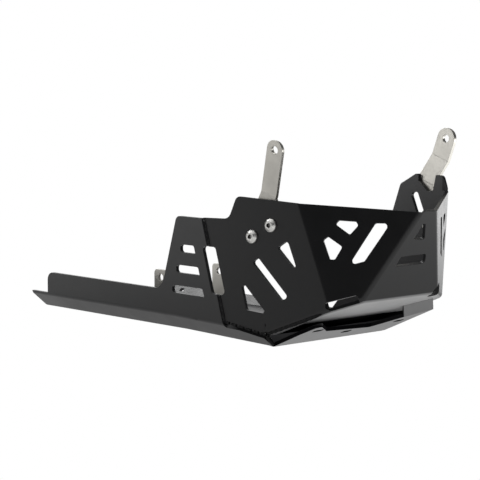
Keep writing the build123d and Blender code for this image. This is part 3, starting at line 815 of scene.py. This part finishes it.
@dataclass(frozen=True)
class SeamLayout:
    """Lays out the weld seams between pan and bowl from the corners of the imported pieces.

    Attributes:
        pan: Lowest and highest corner of the belly pan.
        bowl: Lowest and highest corner of the front bowl.
    """

    pan: tuple[Vector, Vector]
    bowl: tuple[Vector, Vector]

    def joint(self, height: float) -> np.ndarray:
        """Point of the leaning joint between tower and bowl.

        The joint ends at the pan's top, where the bowl reaches farthest back.

        Args:
            height: Height of the point.

        Returns:
            The point.
        """
        drop = self.pan[1][2] - height
        return np.array((self.bowl[0][0] + drop * math.tan(TOWER_LEAN), self.bowl[0][1], height))

    def bend(self, across: float, height: float, offset: Triple) -> np.ndarray:
        """Point near the front bend of the floor.

        Args:
            across: Where along Y.
            height: Height to start from.
            offset: Offset from there.

        Returns:
            The point.
        """
        return np.array((self.pan[0][0] + PAN_LENGTH, across, height)) + offset

    @staticmethod
    def climb(start: np.ndarray, length: float, inward: float) -> np.ndarray:
        """End of a seam that climbs forward with the bottom plate.

        Args:
            start: Start of the seam.
            length: Length along X.
            inward: Distance along Y for each metre along X.

        Returns:
            The point.
        """
        return start + length * np.array((1.0, inward, math.tan(PLATE_SLOPE)))

    def seams(self) -> tuple[Seam, ...]:
        """Lay out all seams.

        Returns:
            The seams.
        """
        plate = self.bowl[0][2]
        foot, under_slot, over_slot, top = (self.joint(height) for height in TOWER_SEAM)
        nose = self.bend(NOSE_Y, plate, NOSE_OFFSET)
        tip = self.bend(NOSE_Y, 0.0, TIP_OFFSET)
        fold = self.bend(NOSE_Y, plate, FOLD_OFFSET)
        far_fold = self.bend(self.bowl[1][1], plate, FAR_FOLD_OFFSET)
        inside = self.bend(NOSE_Y, plate, INSIDE_OFFSET)
        fold_end = self.climb(fold, FOLD_LENGTH, WALL_INWARD)
        far_end = self.climb(far_fold, FAR_FOLD_LENGTH, 0.0)
        return (
            Seam("weld_tower", ((foot, under_slot), (over_slot, top)), radius=0.0021, look=Look.PAN),
            Seam("weld_foot", ((foot, nose),), radius=0.0017, stitch=0.0085, space=0.0022),
            Seam("weld_fold", ((fold, fold_end),), radius=0.0019),
            Seam("weld_fold_far", ((far_fold, far_end),), radius=0.0024),
            Seam("weld_inside", ((inside, inside + INSIDE_RISE),), radius=0.0016),
            Seam("weld_nose", ((nose, tip),), radius=0.0024),
        )


@dataclass(frozen=True)
class Stage:
    """Floor, world, lights and camera.

    Attributes:
        reach: Half the width of the floor.
    """

    reach: float = 5.0

    def floor(self) -> None:
        """Glowing floor: plain white to the camera. In reflections it is darker under the part's middle, a
        painted shadow, and lighter past the far side, painted light.
        """
        r = self.reach
        mesh = bpy.data.meshes.new("floor")
        mesh.from_pydata([(-r, -r, 0.0), (r, -r, 0.0), (r, r, 0.0), (-r, r, 0.0)], [], [(0, 1, 2, 3)])
        floor = bpy.data.objects.new("floor", mesh)
        bpy.context.scene.collection.objects.link(floor)
        floor.location.z = -FLOOR_DROP
        material = bpy.data.materials.new("floor")
        material.use_nodes = True
        material.node_tree.nodes.clear()
        wiring = Wiring(material.node_tree)
        place = wiring.split(wiring.place())
        sides = wiring.ramp(wiring.maths("ABSOLUTE", place["X"]), FLOOR_SIDES, (FLOOR_NEAR, FLOOR_FAR))
        beyond = wiring.ramp(place["Y"], FLOOR_BEYOND, (1.0, FLOOR_GAIN))
        glow = wiring.maths("MULTIPLY", sides, beyond)
        camera_ray = wiring.node("LightPath", {}).outputs["Is Camera Ray"]
        strength = wiring.node("Mix", {"Factor": camera_ray, "A": glow, "B": 1.0}, data_type="FLOAT")
        light = wiring.node("Emission", {"Strength": strength.outputs["Result"]})
        wiring.node("OutputMaterial", {"Surface": light.outputs["Emission"]})
        mesh.materials.append(material)

    def world(self) -> None:
        """White to the camera, dim to everything else."""
        world = bpy.data.worlds.new("studio")
        bpy.context.scene.world = world
        world.use_nodes = True
        world.node_tree.nodes.clear()
        wiring = Wiring(world.node_tree)
        camera_ray = wiring.node("LightPath", {}).outputs["Is Camera Ray"]
        seen = wiring.node("Background", {"Color": opaque(WHITE)}).outputs["Background"]
        dim = wiring.node("Background", {"Color": opaque(WORLD_TONE), "Strength": WORLD_STRENGTH})
        mix = wiring.node("MixShader", {"Fac": camera_ray, 1: dim.outputs["Background"], 2: seen})
        wiring.node("OutputWorld", {"Surface": mix.outputs["Shader"]})

    def lights(self) -> None:
        """Soft lights."""
        for card in CARDS:
            data = bpy.data.lights.new(card.name, "AREA")
            data.shape = "RECTANGLE"
            data.size, data.size_y = card.size
            data.energy = card.power
            lamp = bpy.data.objects.new(card.name, data)
            bpy.context.scene.collection.objects.link(lamp)
            lamp.location = card.place
            way = Vector(card.aim) - Vector(card.place)
            lamp.rotation_euler = way.to_track_quat("-Z", "Y").to_euler()

    def camera(self) -> None:
        """Camera at the photograph's angle."""
        data = bpy.data.cameras.new("camera")
        data.sensor_width = CAMERA.sensor
        data.lens = CAMERA.lens
        data.clip_start, data.clip_end = CAMERA.clip
        eye = bpy.data.objects.new("camera", data)
        bpy.context.scene.collection.objects.link(eye)
        eye.location = CAMERA.place
        eye.rotation_euler = (math.radians(CAMERA.tilt), 0.0, math.radians(CAMERA.turn))
        bpy.context.scene.camera = eye

    def build(self) -> None:
        """Set everything up."""
        self.floor()
        self.world()
        self.lights()
        self.camera()
        bpy.context.scene.view_settings.view_transform = "Standard"


def dress(node: bpy.types.Object, material: bpy.types.Material) -> None:
    """Give a node of the model one material.

    Args:
        node: The node's object.
        material: The material for all its faces.
    """
    node.data.materials.clear()
    node.data.materials.append(material)


def main() -> None:
    """Build the looks and finish the scene."""
    logging.basicConfig(level=logging.INFO)
    for thing in list(bpy.data.objects):
        bpy.data.objects.remove(thing, do_unlink=True)
    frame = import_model()
    finishes = Finishes(NodeGroups())
    finishes.build()
    for name, look in NODE_LOOKS.items():
        dress(frame["nodes"][name], finishes.made[look])
    layout = SeamLayout(pan=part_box("belly_pan"), bowl=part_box("front_bowl"))
    for seam in layout.seams():
        seam.build(finishes.made[seam.look])
    Stage().build()
    LOG.info("pieces dressed: %d", len(NODE_LOOKS))


if __name__ == "__main__":
    main()
